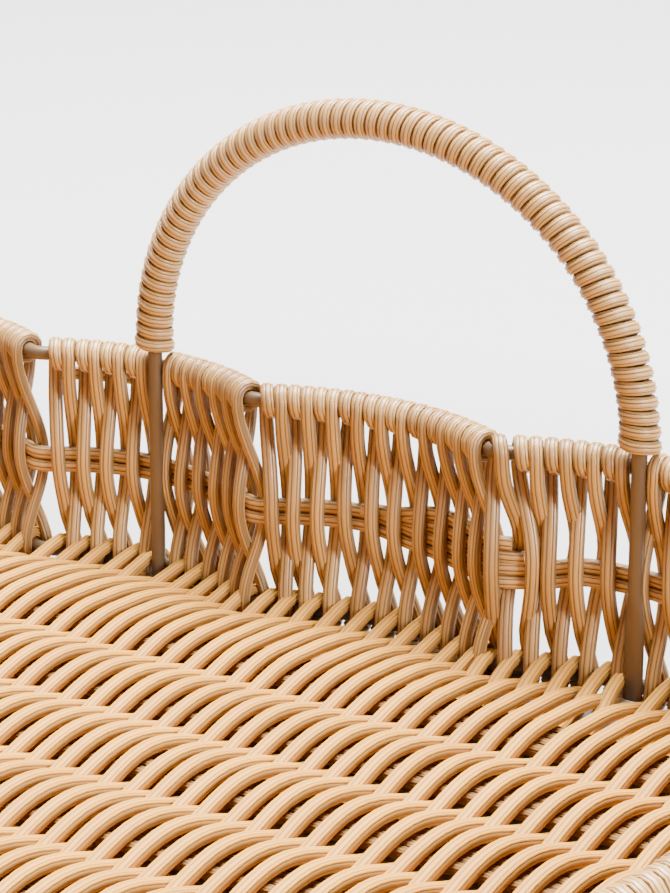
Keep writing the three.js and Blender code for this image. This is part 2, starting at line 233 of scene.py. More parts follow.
def quad_uv(paths, sides, closed):
    """UV of the quads' corners: u is the share of the way round, and v the length run so far in
    mm."""
    length = np.linalg.norm(np.diff(paths, axis=1), axis=-1)
    run = np.concatenate([np.zeros((len(paths), 1)), np.cumsum(length, 1)], 1)
    if closed:
        run = np.concatenate([run, run[:, -1:] + length[:, :1]], 1)
    shape = len(paths), run.shape[1] - 1, sides
    low, high = (np.broadcast_to(part[:, :, None], shape) for part in (run[:, :-1], run[:, 1:]))
    left = np.broadcast_to(np.arange(sides) / sides, shape)
    right = left + 1 / sides
    corners = (left, low), (right, low), (right, high), (left, high)
    return np.stack([np.stack(corner, -1) for corner in corners], 3).reshape(-1, 2)


def end_faces(count, steps, sides):
    """Corners of the flat faces at both ends of each tube, (2N, S): ring 0 backwards and ring M -
    1."""
    start = np.arange(count)[:, None] * steps * sides
    k = np.arange(sides)[None]
    return np.concatenate([start + k[:, ::-1], start + (steps - 1) * sides + k])


def sharp_edges(mesh, steps, sides, ribbed, closed):
    """True for the edges along the grooves, whose ends share one odd k, and round the end faces."""
    edges = np.zeros(len(mesh.edges) * 2, np.int32)
    mesh.edges.foreach_get("vertices", edges)
    a, b = edges.reshape(-1, 2).T
    lengthwise = a % sides == b % sides
    sharp = lengthwise & (a % 2 == 1) & ribbed
    if not closed:
        station = (a // sides) % steps
        sharp |= ~lengthwise & ((station == 0) | (station == steps - 1))
    return sharp


print("quads of one strand of three rings:", len(tube_quads(1, 3, len(STRAND), False)))


# %% One mesh of many tubes
def add_tubes(name, paths, widths, section, ribbed=True, closed=False, tone=0.5, swell=(1.0, 1.0)):
    """One object of N tubes along N paths of M points. Swell multiplies the section's width and
    thickness, as two numbers or two (N, M) arrays. The attribute tone holds one value for each
    tube."""
    paths = np.asarray(paths, float)
    count, steps, _ = paths.shape
    sides = len(section)
    widths = np.broadcast_to(widths, paths.shape)
    points = tube_rings(paths, travel_of(paths, closed), widths, section, swell).reshape(-1, 3) * MM
    quads = tube_quads(count, steps, sides, closed)
    loops, uv = quads.ravel(), quad_uv(paths, sides, closed)
    starts = np.arange(len(quads)) * 4
    if not closed:
        caps = end_faces(count, steps, sides)
        starts = np.concatenate([starts, len(loops) + np.arange(len(caps)) * sides])
        loops = np.concatenate([loops, caps.ravel()])
        cap_uv = np.stack([np.tile(np.arange(sides) / sides, len(caps)), np.zeros(caps.size)], -1)
        uv = np.concatenate([uv, cap_uv])
    tones = np.broadcast_to(np.asarray(tone, float).reshape(-1, 1), (count, steps * sides))

    mesh = bpy.data.meshes.new(name)
    mesh.vertices.add(len(points))
    mesh.vertices.foreach_set("co", points.ravel())
    mesh.loops.add(len(loops))
    mesh.loops.foreach_set("vertex_index", loops.astype(np.int32))
    mesh.polygons.add(len(starts))
    mesh.polygons.foreach_set("loop_start", starts.astype(np.int32))
    mesh.update(calc_edges=True)
    mesh.uv_layers.new(name="UVMap").uv.foreach_set("vector", uv.astype(np.float32).ravel())
    tone_layer = mesh.attributes.new("tone", "FLOAT", "POINT")
    tone_layer.data.foreach_set("value", tones.astype(np.float32).ravel())
    mesh.polygons.foreach_set("use_smooth", np.ones(len(starts), bool))
    sharp = sharp_edges(mesh, steps, sides, ribbed, closed)
    mesh.attributes.new("sharp_edge", "BOOLEAN", "EDGE").data.foreach_set("value", sharp)
    mesh.validate()
    obj = bpy.data.objects.new(name, mesh)
    bpy.context.scene.collection.objects.link(obj)
    return obj


print("round a strand:", len(STRAND), "quads, and round a wire:", len(WIRE))

# %% [markdown]
# ## The finish of ribbed strand
# The real strand is extruded plastic. Its ribs are light, and no two strands have quite one tone.
# Its grooves, and its narrow sides where strands touch, get painted shade in their colour. A
# picture could show all that, but it would repeat. The tubes already carry u round the strand and
# v along it, so plain maths on u makes the grooves and their painted shade, and two noises move the
# tone. Five finishes share it, so it is a node group.

# %% Colours and node groups
def srgb(r, g, b):
    """Linear colour of an 8-bit screen colour: ((c + 0.055)/1.055)^2.4, or c/12.92 when dark."""
    c = np.array([r, g, b]) / 255
    linear = np.where(c <= 0.04045, c / 12.92, ((c + 0.055) / 1.055) ** 2.4)
    return (*linear, 1.0)


def node_group(name, inputs, outputs):
    """An empty shader node group with the given sockets: {name: (socket type, default)}."""
    group = bpy.data.node_groups.new(name, "ShaderNodeTree")
    for key, (kind, default) in inputs.items():
        socket = group.interface.new_socket(key, in_out="INPUT", socket_type=kind)
        socket.default_value = default
    for key, kind in outputs.items():
        group.interface.new_socket(key, in_out="OUTPUT", socket_type=kind)
    return group, group.nodes.new("NodeGroupInput"), group.nodes.new("NodeGroupOutput")


print("middle grey of a screen in linear light:", round(srgb(128, 128, 128)[0], 3))


# %% Nodes for sums, mixes and noise
def feed(tree, value, socket):
    """Links a socket to another one, or writes a plain value on it."""
    if isinstance(value, bpy.types.NodeSocket):
        tree.links.new(value, socket)
    else:
        socket.default_value = value


def math_node(tree, operation, a, b=None, clamp=False):
    """A math node whose inputs are sockets or numbers. Returns its output."""
    node = tree.nodes.new("ShaderNodeMath")
    node.operation = operation
    node.use_clamp = clamp
    feed(tree, a, node.inputs[0])
    if b is not None:
        feed(tree, b, node.inputs[1])
    return node.outputs[0]


def weighted_sum(tree, *terms):
    """The sum of socket x weight over the given terms."""
    total = None
    for socket, weight in terms:
        part = math_node(tree, "MULTIPLY", socket, weight)
        total = part if total is None else math_node(tree, "ADD", total, part)
    return total


def mix_colour(tree, factor, a, b):
    """A colour mix node: a at factor 0 and b at factor 1."""
    node = tree.nodes.new("ShaderNodeMix")
    node.data_type = "RGBA"
    for value, socket in ((factor, node.inputs[0]), (a, node.inputs[6]), (b, node.inputs[7])):
        feed(tree, value, socket)
    return node.outputs[2]


def noise_node(tree, vector, scale, detail=2.0):
    """A noise read at the given vector. Returns its value, from 0 to 1."""
    node = tree.nodes.new("ShaderNodeTexNoise")
    node.inputs["Scale"].default_value = scale
    node.inputs["Detail"].default_value = detail
    tree.links.new(vector, node.inputs["Vector"])
    return node.outputs[0]


print("helpers:", [helper.__name__ for helper in (math_node, weighted_sum, mix_colour, noise_node)])

# %% Masks and noises of the ribbed strand
STREAKS_ROUND, STREAKS_PER_MM, STREAK_SEEDS = 40.0, 0.35, 50.0
BLOTCHES_PER_M = 90.0


def groove_mask(tree, u):
    """1 in the middle of a groove and 0 on a rib: (1 - |sin(9 pi (u + 1/18))|)^2."""
    turn = math_node(tree, "MULTIPLY", math_node(tree, "ADD", u, 0.5 / RIBS), RIBS * math.pi)
    wave = math_node(tree, "ABSOLUTE", math_node(tree, "SINE", turn))
    return math_node(tree, "POWER", math_node(tree, "SUBTRACT", 1.0, wave, True), 2.0)


def painted_contact_shade_mask(tree, u):
    """Painted shade where strands touch: 1 on the two narrow sides and 0 between: |cos(2 pi u)|^8."""
    turn = math_node(tree, "MULTIPLY", u, 2 * math.pi)
    return math_node(tree, "POWER", math_node(tree, "ABSOLUTE", math_node(tree, "COSINE", turn)), 8.0)


def streak_noise(tree, u, v, tone):
    """Fine streaks along each strand: noise at (40 u, 0.35 v, 50 tone), so each tone has its
    own."""
    stretch = tree.nodes.new("ShaderNodeCombineXYZ")
    factors = (STREAKS_ROUND, STREAKS_PER_MM, STREAK_SEEDS)
    for value, factor, socket in zip((u, v, tone), factors, stretch.inputs):
        tree.links.new(math_node(tree, "MULTIPLY", value, factor), socket)
    return noise_node(tree, stretch.outputs[0], 1.0)


print(f"streaks are {1 / STREAKS_PER_MM:.1f} mm long and blotches {1 / BLOTCHES_PER_M / MM:.0f} mm")


# %% The node group
def strand_group():
    """Colour, roughness and height of ribbed strand. The body's colour goes from light to dark by
    0.6 tone + 0.5 blotch + 0.4 streak - 0.25, and towards the painted shade colour by the greater of
    groove mask x its share and side mask x its share: painted shade in the grooves and where strands
    touch. Roughness rises by 0.12 (groove + streak), and the height is 0.35 streak - 0.6 groove."""
    group, inside, outside = node_group("ribbed strand", {
        "Light": ("NodeSocketColor", srgb(226, 184, 132)),
        "Dark": ("NodeSocketColor", srgb(196, 144, 92)),
        "Groove shade": ("NodeSocketColor", srgb(96, 62, 34)),
        "Groove share": ("NodeSocketFloat", 0.6),
        "Side shade share": ("NodeSocketFloat", 0.5),
        "Roughness": ("NodeSocketFloat", 0.36),
    }, {"Color": "NodeSocketColor", "Roughness": "NodeSocketFloat", "Height": "NodeSocketFloat"})
    split = group.nodes.new("ShaderNodeSeparateXYZ")
    group.links.new(group.nodes.new("ShaderNodeUVMap").outputs[0], split.inputs[0])
    u, v, _ = split.outputs
    attribute = group.nodes.new("ShaderNodeAttribute")
    attribute.attribute_name = "tone"
    tone = attribute.outputs["Fac"]
    place = group.nodes.new("ShaderNodeTexCoord").outputs["Object"]
    groove = groove_mask(group, u)
    blotch = noise_node(group, place, BLOTCHES_PER_M, 3.0)
    streak = streak_noise(group, u, v, tone)

    shift = weighted_sum(group, (tone, 0.6), (blotch, 0.5), (streak, 0.4))
    shift = math_node(group, "SUBTRACT", shift, 0.25, True)
    body = mix_colour(group, shift, inside.outputs["Light"], inside.outputs["Dark"])
    # Painted shade: grooves and the narrow sides where strands touch go towards the dark groove
    # colour.
    painted_groove_shade = math_node(group, "MULTIPLY", groove, inside.outputs["Groove share"])
    painted_side_shade = math_node(group, "MULTIPLY", painted_contact_shade_mask(group, u), inside.outputs["Side shade share"])
    dark = math_node(group, "MAXIMUM", painted_groove_shade, painted_side_shade)
    colour = mix_colour(group, dark, body, inside.outputs["Groove shade"])
    uneven = math_node(group, "MULTIPLY", math_node(group, "ADD", groove, streak), 0.12)
    rough = math_node(group, "ADD", inside.outputs["Roughness"], uneven)
    height = weighted_sum(group, (groove, -0.6), (streak, 0.35))
    for value, name in ((colour, "Color"), (rough, "Roughness"), (height, "Height")):
        group.links.new(value, outside.inputs[name])
    return group


STRAND_LOOK = strand_group()
print("node group:", STRAND_LOOK.name, "with", len(STRAND_LOOK.nodes), "nodes")

# %% Five finishes of strand
BUMP_STRENGTH, BUMP_HEIGHT = 0.4, 0.0002


def strand_material(name, light, dark, groove, groove_shade_share, side_shade_share, roughness, gloss):
    """A semi-gloss plastic that wears the ribbed strand group, with three 8-bit screen colours, the
    third being the painted shade of its grooves and touching sides.
    """
    material = bpy.data.materials.new(name)
    material.use_nodes = True
    tree = material.node_tree
    shader = tree.nodes["Principled BSDF"]
    look = tree.nodes.new("ShaderNodeGroup")
    look.node_tree = STRAND_LOOK
    look.inputs["Light"].default_value = srgb(*light)
    look.inputs["Dark"].default_value = srgb(*dark)
    look.inputs["Groove shade"].default_value = srgb(*groove)
    look.inputs["Groove share"].default_value = groove_shade_share
    look.inputs["Side shade share"].default_value = side_shade_share
    look.inputs["Roughness"].default_value = roughness
    bump = tree.nodes.new("ShaderNodeBump")
    bump.inputs["Strength"].default_value = BUMP_STRENGTH
    bump.inputs["Distance"].default_value = BUMP_HEIGHT
    tree.links.new(look.outputs["Height"], bump.inputs["Height"])
    tree.links.new(bump.outputs[0], shader.inputs["Normal"])
    tree.links.new(look.outputs["Color"], shader.inputs["Base Color"])
    tree.links.new(look.outputs["Roughness"], shader.inputs["Roughness"])
    shader.inputs["Specular IOR Level"].default_value = gloss
    return material


# The walls and the handles are glossy. The floor is duller. The stakes under it are dull, and
# their darker, browner colour is painted shade, for they lie in the floor's shade. Each groove
# colour is the painted shade of the grooves and of the sides where strands touch.
wall_look = strand_material(
    "wall_strand", light=(204, 157, 91), dark=(156, 111, 59), groove=(28, 16, 8),
    groove_shade_share=0.9, side_shade_share=0.6, roughness=0.32, gloss=0.65)
floor_look = strand_material(
    "floor_strand", light=(208, 147, 50), dark=(188, 129, 46), groove=(112, 84, 58),
    groove_shade_share=0.9, side_shade_share=0.6, roughness=0.5, gloss=0.2)
stake_shade_look = strand_material(
    "stake_strand", light=(144, 102, 58), dark=(117, 82, 46), groove=(72, 50, 30),
    groove_shade_share=0.6, side_shade_share=0.6, roughness=0.8, gloss=0.05)
weaver_look = strand_material(
    "weaver_strand", light=(212, 164, 100), dark=(176, 130, 74), groove=(28, 16, 8),
    groove_shade_share=0.95, side_shade_share=0.6, roughness=0.34, gloss=0.8)
handle_look = strand_material(
    "handle_strand", light=(216, 169, 98), dark=(178, 131, 72), groove=(36, 21, 10),
    groove_shade_share=0.9, side_shade_share=0.75, roughness=0.32, gloss=0.6)
looks = wall_look, floor_look, stake_shade_look, weaver_look, handle_look
print("strand finishes:", [look.name for look in looks])

# %% [markdown]
# ## The wire's paint
# The real wire is painted beige-brown, smooth, with a faint unevenness in its gloss. One noise on
# the roughness is enough, because the wire shows only at the cusps and on the bare legs.

# %% Painted wire
def wire_material():
    """Beige-brown paint. Its roughness is 0.28 + 0.2 noise."""
    material = bpy.data.materials.new("wire")
    material.use_nodes = True
    tree = material.node_tree
    shader = tree.nodes["Principled BSDF"]
    shader.inputs["Base Color"].default_value = srgb(94, 72, 49)
    shader.inputs["Metallic"].default_value = 0.15
    place = tree.nodes.new("ShaderNodeTexCoord")
    noise = noise_node(tree, place.outputs["Object"], 300.0)
    tree.links.new(math_node(tree, "ADD", math_node(tree, "MULTIPLY", noise, 0.2), 0.28),
                   shader.inputs["Roughness"])
    return material


wire_look = wire_material()
print("wire paint:", wire_look.name)

# %% [markdown]
# ## The wire frame
# The real frame is two closed wire loops, joined by the legs of the two handles and by uprights on
# the long walls. Each handle is one rod. It rises inside the wall from the base wire, bends over as
# half an ellipse that leans a little inward, and its second leg is pressed flat low down. The loops
# reuse the outline above, and a rod's legs and arch are joined into one line, so it stays one tube
# as on the tray.

# %% The two loops
def place_piece(obj, look, slot, *nodes):
    """Gives a piece its material, the body it rides on and the CAD nodes it stands for. The
    slot is not used."""
    obj.data.materials.append(look)
    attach(obj, "root")
    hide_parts(*nodes)
    return obj


for node, z in (("rim_wire", rim_z), ("base_wire", base_z)):
    loop = outline_loop(0, z)[None]
    piece = add_tubes(f"{node}_look", loop, UP, WIRE, ribbed=False, closed=True)
    place_piece(piece, wire_look, "wire", node)
print("loops of", loop.shape[1], "steps")

# %% Line of a handle
# In each wall, the scallops with a handle leg or an upright at their middle. The first is number 0.
LEG_SCALLOPS = {"back": (1, 3), "front": (1, 3), "right": (1, 5), "left": (1, 5)}
ARCH_STEPS, LEG_STEPS = 120, 12


def smooth_step(t):
    """0 below 0, 1 above 1, and 3t^2 - 2t^3 between."""
    t = np.clip(t, 0, 1)
    return t * t * (3 - 2 * t)


def handle_line(wall, start_z):
    """Centre line of a handle rod from start_z up one leg, over the arch and down the other leg. On
    the arch, at angle t, the place between the legs is -half cos t, z = spring + rise sin t, and it
    leans lean sin t into the tray."""
    feet, _ = on_wall(wall, np.array(LEG_SCALLOPS[wall]), middle_s, LEG_OFFSET, rim_z)
    spring = rim_z + HANDLE_SPRING
    middle = feet.mean(0)
    side = unit(feet[1] - feet[0])
    inward = -np.sign(middle[1])
    t = np.linspace(0, np.pi, ARCH_STEPS)
    arch = middle - HANDLE_HALF * np.cos(t)[:, None] * side
    arch[:, 1] += inward * HANDLE_LEAN * np.sin(t)
    arch[:, 2] = spring + HANDLE_RISE * np.sin(t)
    rise = np.linspace(start_z, spring, LEG_STEPS, endpoint=False)
    up_leg, down_leg = (
        np.stack([np.full(LEG_STEPS, foot[0]), np.full(LEG_STEPS, foot[1]), z], -1)
        for foot, z in zip(feet, (rise, rise[::-1]))
    )
    return np.concatenate([up_leg, arch, down_leg])


def even_steps(line, count):
    """The same line in equal steps: each coordinate is interpolated against the length run so
    far."""
    run = np.concatenate([[0], np.cumsum(np.linalg.norm(np.diff(line, axis=0), axis=1))])
    at = np.linspace(0, run[-1], count)
    return np.stack([np.interp(at, run, line[:, i]) for i in range(3)], -1), run[-1]


print(f"arch of the handles, top at z {handle_line('back', base_z)[:, 2].max():.1f} mm")

# %% Handle rods
ROD_STEPS = 160
# Below the weavers the second leg is pressed: thinner across the wall and wider along it.
PRESS_FADE, PRESS_THIN, PRESS_WIDE = 6.0, 0.25, 0.45

for wall in ("back", "front"):
    rod, rod_length = even_steps(handle_line(wall, base_z - WIRE_R), ROD_STEPS)
    on_second_leg = np.arange(ROD_STEPS) > ROD_STEPS / 2
    flat = smooth_step((weaver_z - rod[:, 2]) / PRESS_FADE) * on_second_leg
    piece = add_tubes(f"handle_rod_{wall}_look", rod[None], ALONG_Y, WIRE, ribbed=False,
                      swell=(1 - PRESS_THIN * flat, 1 + PRESS_WIDE * flat))
    place_piece(piece, wire_look, "wire", f"handle_rod_{wall}")
print(f"handle rod length {rod_length:.1f} mm")

# %% Uprights of the long walls
for wall, ends in (("right", ("back", "front")), ("left", ("front", "back"))):
    for scallop, end in zip(LEG_SCALLOPS[wall], ends):
        foot, _ = on_wall(wall, scallop, middle_s, LEG_OFFSET, 0.0)
        line = np.stack([foot, foot]) + np.outer([base_z - WIRE_R, rim_z + WIRE_R], UP)
        piece = add_tubes(f"upright_{wall}_{end}_look", line[None], ALONG_Y, WIRE, ribbed=False)
        place_piece(piece, wire_look, "wire", f"upright_{wall}_{end}")
print(f"upright height {line[1, 2] - line[0, 2]:.1f} mm")

# %% [markdown]
# ## Where the wall strands stand
# On the real tray one strand comes up, winds round the rim wire and goes down again beside itself,
# which makes a pair. A plain scallop holds ten pairs, and an ordinary pair wraps the rim wire
# twice. A handle leg or an upright needs room at the middle of its scallop, so the pair to the
# right of it wraps the wire only once. Even spacing alone would run strands through the legs, so a
# table holds every pair's places, with small seeded shifts that make it look woven by hand.

# %% Rim places in one scallop
PAIRS = 10
LEFT_START, LEFT_STEP, LEFT_PITCH = 9.15, 6.35, 3.1  # pairs left of a leg
RIGHT_START, RIGHT_PITCH = 3.4, 2.7  # pairs right of a leg, measured from the scallop's middle
LONE_S, LONE_RIGHT_PITCH = 1.6, 3.06  # a handle wall's scallop 3 starts with one more pair
ONCE, TWICE = 0.5, 1.5  # turns from inside the wire over its top to outside


def pair_places(wall, scallop):
    """Rim place, wrap pitch and number of turns of each pair of a scallop, from left to right. In a
    plain scallop pair k stands at bare + pitch (1.5 + 2k), with pitch = (L - 2 bare)/20."""
    if scallop not in LEG_SCALLOPS[wall]:
        pitch = (arc_length - 2 * BARE) / (2 * PAIRS)
        rim_s = BARE + pitch * (1.5 + 2 * np.arange(PAIRS))
        return rim_s, np.full(PAIRS, pitch), np.full(PAIRS, TWICE)
    has_lone = wall in ("back", "front") and scallop == 3
    right_pitch = LONE_RIGHT_PITCH if has_lone else RIGHT_PITCH
    right = middle_s + RIGHT_START + 2 * right_pitch * np.arange(5 if has_lone else 6)
    left = LEFT_START + LEFT_STEP * np.arange(4)
    rim_s = np.concatenate([[LONE_S] if has_lone else [], left, right])
    pitch = np.where(rim_s > middle_s, right_pitch, LEFT_PITCH)
    turns = np.where((rim_s < LEFT_START) | (rim_s == right[0]), ONCE, TWICE)
    return rim_s, pitch, turns


print("plain scallop's rim places, mm:", pair_places("back", 0)[0].round(1))

# %% The table of all pairs
# foot_s is the foot of the strand that comes up, tip_s the place where it comes back over the base
# wire, and low_s the foot of the strand that goes down. TIP and LOW are their ways from foot_s, and
# LEG_TIP is the place of the tip beside a leg, from the scallop's middle.
COLUMNS = ("scallop", "rim_s", "pitch", "turns", "foot_s", "tip_s", "low_s")
TIP, LOW, LEG_TIP = -3.3, -0.8, -3.2
LEAN_AT, LEAN = [0, 8, 20, 60, arc_length], [1.6, 0.3, -0.7, 3.0, 3.2]
RIM_SHIFT, FOOT_SHIFT = 0.1, 0.25


def scallop_rows(wall, scallop):
    """One row for each pair. A foot stands to the right of its rim place by the lean read from the
    list at that place, and both get a small seeded shift."""
    rim_s, pitch, turns = pair_places(wall, scallop)
    count = len(rim_s)
    rim_s = rim_s + rng.normal(0, RIM_SHIFT, count)
    foot_s = rim_s + np.interp(rim_s, LEAN_AT, LEAN) + rng.normal(0, FOOT_SHIFT, count)
    tip_s, low_s = foot_s + TIP, foot_s + LOW
    if scallop in LEG_SCALLOPS[wall]:
        beside_leg = int(np.argmax(rim_s > middle_s))
        tip_s[beside_leg] = middle_s + LEG_TIP
    return np.stack([np.full(count, scallop), rim_s, pitch, turns, foot_s, tip_s, low_s], -1)


pairs = {}
for wall, (_, _, number) in WALLS.items():
    rows = np.concatenate([scallop_rows(wall, scallop) for scallop in range(number)])
    pairs[wall] = dict(zip(COLUMNS, rows.T))
print({wall: len(table["rim_s"]) for wall, table in pairs.items()}, "pairs")

# %% [markdown]
# ## Wall strands
# A real strand comes up inside the base wire, passes outside the mid weavers, winds round the rim
# wire, and goes down outside it, inside the mid weavers and outside the base wire. Copies of one
# modelled pair would be lighter work, but every strand of the photograph bends in its own way. So
# s, n and z are written as formulas of the height, with the table's places and small seeded bends
# in them.

# %% Formulas along a wall strand
# In scallop 3 the photograph's strands left of the leg sway, and one of those that go down bends.
SWAY_SCALLOP, SWAY, LONE_SWAY, SWAY_AT, SWAY_REACH = 3, 1.8, 1.7, 0.62, 0.2
BEND, BEND_REACH = 3.2, 3
SETTLED = 0.53  # share of the way down at which a falling strand stands over its foot
LOWER_AT, LOWER = [SETTLED, 0.84, 1.0], [-2.8, -2.4, LOW]


def hump(z):
    """1 at the mid weaver's height, 0 at both wires, as (1 + cos pi x)/2 on either side."""
    span = np.where(z > weaver_z, rim_z - weaver_z, weaver_z - base_z)
    return 0.5 * (1 + np.cos(np.pi * np.clip((z - weaver_z) / span, -1, 1)))


def round_wire(s, angle, wire_z):
    """(s, n, z) of a strand that lies on a wire: n = r cos angle, z = wire's z + r sin angle."""
    return s, WRAP_R * np.cos(angle), wire_z + WRAP_R * np.sin(angle)


def rising_s(z, scallop, rim_s, foot_s, bow, jitter):
    """From the foot's place, after the mid weaver smoothly to the rim place, plus bow sin pi t and
    jitter sin 2 pi t, with t the share of the way. In scallop 3 the strands left of the middle also
    sway by 1.8 exp(-((t - 0.62)/0.2)^2) mm, and one beside the cusp by 1.7 times as much."""
    t = (z - base_z) / (rim_z - base_z)
    over = smooth_step((z - weaver_z) / (rim_z - weaver_z))
    s = foot_s + (rim_s - foot_s) * over + bow * np.sin(np.pi * t) + jitter * np.sin(2 * np.pi * t)
    sway = SWAY * (scallop == SWAY_SCALLOP) * (rim_s < middle_s)
    sway = sway * np.where(rim_s < LEFT_START / 2, LONE_SWAY, 1.0)
    return s + sway * np.exp(-((t - SWAY_AT) / SWAY_REACH) ** 2)


def falling_s(z, scallop, rim_s, top_s, foot_s, bow, jitter):
    """From the end of the wraps to just left of the foot, which it reaches a little past half way.
    In scallop 3 the one within 3 mm of the first place left of a leg also bends by 3.2 (sin pi t)^2
    mm."""
    t = (rim_z - z) / (rim_z - base_z)
    settle = smooth_step(t / SETTLED)
    lower = np.interp(t, LOWER_AT, LOWER)
    s = top_s * (1 - settle) + (foot_s + lower) * settle + bow * np.sin(np.pi * t)
    bend = BEND * (scallop == SWAY_SCALLOP) * (abs(rim_s - LEFT_START) < BEND_REACH)
    return s + bend * np.sin(np.pi * t) ** 2 - jitter * np.sin(2 * np.pi * t)


print("hump at base, weaver and rim:", hump(np.array([base_z, weaver_z, rim_z])).round(2))

# %% A pair's whole path
RISE_STEPS, WRAP_STEPS, FOOT_STEPS = 17, 18, 4
OUTSIDE_WEAVER, INSIDE_WEAVER = 2.55, 2.4  # how far a strand passes from the weavers' line
BOW, BOW_SHIFT, JITTER = -0.45, 0.3, 0.22
UNDER_MOST, UNDER_SHARE = -4.0, 0.5  # how far from the side a strand comes under the base wire
FOOT_RUN = 0.5  # how far to the side it goes on round the base wire
FREE_WIDE, RIM_WIDE, RIM_FADE = 1.07, 1.01, 9  # a strand is wider between the wires than on the rim


def pair_paths(table):
    """(s, n, z) along each strand: round the base wire from below, up, round the rim wire, down and
    round the base wire again. Also the factor of its width, which fades within 9 mm of the rim wire
    from 1.07 to what the wraps leave room for."""
    scallop, rim_s, pitch, turns, foot_s, tip_s, low_s = (table[name][:, None] for name in COLUMNS)
    count = len(rim_s)
    jitter = rng.normal(0, JITTER, (count, 1))
    bow = rng.normal(BOW, BOW_SHIFT, (count, 1))

    angle = np.radians(np.linspace(-90, -180, FOOT_STEPS, endpoint=False))[None]
    share = np.linspace(0, 1, FOOT_STEPS, endpoint=False)[None]
    under = np.maximum(tip_s - foot_s, UNDER_MOST) * UNDER_SHARE * (1 - share)
    first_foot = round_wire(foot_s + under, angle, base_z)

    z = np.linspace(base_z, rim_z, RISE_STEPS, endpoint=False)[None]
    s = rising_s(z, scallop, rim_s, foot_s, bow, jitter)
    rise = (s, -WRAP_R + (WRAP_R + OUTSIDE_WEAVER) * hump(z), z)

    share = np.linspace(0, 1, WRAP_STEPS)[None]
    angle = np.pi - share * turns * 2 * np.pi
    wraps = round_wire(rim_s - pitch * turns * share, angle, rim_z)

    z = np.linspace(rim_z, base_z, RISE_STEPS, endpoint=False)[None, 1:]
    s = falling_s(z, scallop, rim_s, rim_s - pitch * turns, foot_s, bow, jitter)
    fall = (s, WRAP_R - (WRAP_R + INSIDE_WEAVER) * hump(z), z)

    angle = np.radians(np.linspace(0, -90, FOOT_STEPS + 1))[None]
    share = np.linspace(0, 1, FOOT_STEPS + 1)[None]
    last_foot = round_wire(low_s + FOOT_RUN * share, angle, base_z)

    parts = [np.broadcast_arrays(*part) for part in (first_foot, rise, wraps, fall, last_foot)]
    path = [np.concatenate([np.broadcast_to(part[i], (count, part[i].shape[1])) for part in parts], 1)
            for i in range(3)]
    on_rim = np.clip(1 - abs(path[2] - rim_z) / RIM_FADE, 0, 1)
    return path, FREE_WIDE + on_rim * (np.minimum(pitch / STRAND_W, 1.0) * RIM_WIDE - FREE_WIDE)


print("steps along a wall strand:", 2 * (FOOT_STEPS + RISE_STEPS) + WRAP_STEPS)


# %% Wall panels
def flip(wall, scallop, s):
    """The front wall mirrors the back wall and the right wall the left one, so strands meet
    across."""
    number = WALLS[wall][2]
    mirrored = wall in ("front", "right")
    return (number - 1 - scallop, arc_length - s) if mirrored else (scallop, s)


wall_triangles = 0
for wall, (_, _, number) in WALLS.items():
    table = pairs[wall]
    (s, n, z), wide = pair_paths(table)
    for scallop in range(number):
        rows = table["scallop"] == scallop
        place_scallop, place_s = flip(wall, scallop, s[rows])
        points, tangents = on_wall(wall, place_scallop, place_s, n[rows], z[rows])
        piece = add_tubes(f"strands_{wall}_{place_scallop + 1}", points, tangents, STRAND,
                          tone=rng.random(rows.sum()), swell=(wide[rows], 1.0))
        place_piece(piece, wall_look, "wall_strand", f"wall_{wall}_{place_scallop + 1}")
        wall_triangles += 2 * len(piece.data.polygons)
print("wall strands: about", wall_triangles, "triangles")

# %% [markdown]
# ## Mid weavers
# Two strands run all round the real wall, between the strands that pass inside and outside them.
# They could be woven in and out themselves, but on the real wall they lie nearly straight, and the
# strands that cross them bend. So they are a second, slightly wavy copy of the outline. Where a new
# pair was spliced in, the ends of the old one lie on top of it: two short strands follow the same
# loop a little higher and stop.

# %% Weavers
WEAVER_STEP, WEAVER_LIFT = 2.6, 1.5
per_scallop = int(arc_length / WEAVER_STEP)
SPLICE = (2 * per_scallop + 9, 3 * per_scallop + 3)  # steps between which the old pair lies on the new
LEVEL, SWING, SWING_AT = 0.1, 0.6, 0.36
SPLICE_SINK, SINK_FROM, SINK_TO = 1.4, 5, 4


def weaver_loop(lift):
    """A weaver's loop. In each scallop it swings by 0.6 cos 2 pi (share - 0.36) mm. Along the
    splice it lies 1.4 mm lower, to make room for the ends. It sinks in five steps and comes back in
    four."""
    loop = outline_loop(0.0, weaver_z + lift, step=WEAVER_STEP, smooth=WEAVER_STEP)
    place = np.arange(len(loop))
    near = (
        smooth_step((place - SPLICE[0]) / SINK_FROM)
        * smooth_step((SPLICE[1] + SINK_TO - place) / SINK_TO)
    )
    swing = SWING * np.cos(2 * np.pi * (place / per_scallop - SWING_AT))
    loop[:, 2] += LEVEL + swing - SPLICE_SINK * near
    return loop


for node, lift in (("mid_weaver_upper", WEAVER_LIFT), ("mid_weaver_lower", -WEAVER_LIFT)):
    path = weaver_loop(lift)[None]
    piece = add_tubes(f"{node}_look", path, UP, STRAND, closed=True, tone=rng.random(1))
    place_piece(piece, weaver_look, "weaver_strand", node)
print("weaver loop of", len(piece.data.polygons), "faces, with", per_scallop, "steps in a scallop")

# %% Splice and loose end
SPLICE_LIFTS = (4.55, 7.55)
END_STEPS, START_LIFT, START_STEPS, END_SINK, SINK_STEPS = 44, 2.0, 9, 0.9, 8
LOOSE_OUT, LOOSE_DROP, LOOSE_SLOPE = 0.6, 5.4, 0.02


